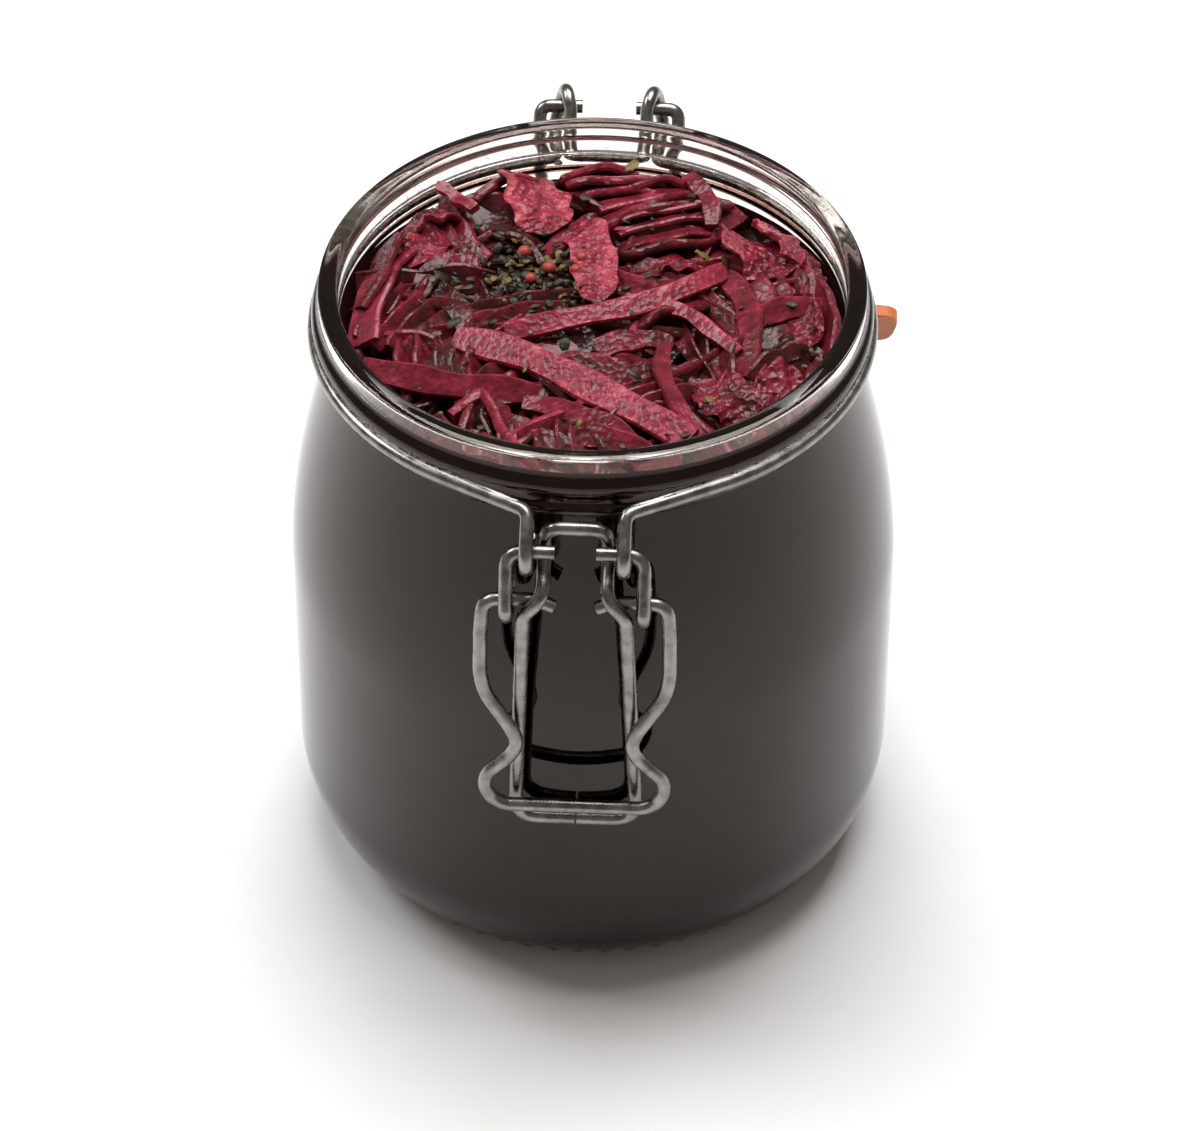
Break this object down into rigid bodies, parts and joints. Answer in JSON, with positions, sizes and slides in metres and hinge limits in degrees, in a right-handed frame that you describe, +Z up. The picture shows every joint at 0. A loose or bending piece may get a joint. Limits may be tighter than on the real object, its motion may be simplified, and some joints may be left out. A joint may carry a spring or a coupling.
{
  "type": "jar of red cabbage",
  "caption": "Clear glass preserving jar filled with dark red cabbage, with a wire bail clamp in front and a hinged glass lid with a rubber seal hanging open behind.",
  "frame": {"origin": "middle of the jar's flat foot", "axes": "+Z up along the jar's axis, -Y towards the clamp, +Y towards the lid's hinge"},
  "size_m": [0.1053, 0.1505, 0.1167],
  "materials": {
    "jar_glass": "clear moulded soda-lime glass",
    "red_cabbage": "wet cooked red cabbage in dark juice",
    "wire": "galvanised round steel wire",
    "seal": "orange natural rubber"
  },
  "bodies": {
    "jar": {"jar_glass": "jar_glass", "red_cabbage": "red_cabbage", "neck_wire": "wire"},
    "clasp": {"link_left": "wire", "link_right": "wire", "bail_ring": "wire"},
    "lever": {"lever": "wire"},
    "lid": {"lid_glass": "jar_glass", "lid_wire": "wire", "seal_ring": "seal"}
  },
  "joints": [
    {"name": "lid_hinge", "type": "hinge", "parent": "jar", "child": "lid", "pos_m": [0, 0.056, 0.1109], "axis": [1, 0, 0], "range_deg": [0, 246.5]},
    {"name": "clasp_pivot", "type": "hinge", "parent": "jar", "child": "clasp", "pos_m": [0, -0.0518, 0.1021], "axis": [-1, 0, 0], "range_deg": [0, 95]},
    {"name": "lever_pivot", "type": "hinge", "parent": "clasp", "child": "lever", "pos_m": [0, -0.0532, 0.0929], "axis": [-1, 0, 0], "range_deg": [0, 90]}
  ]
}
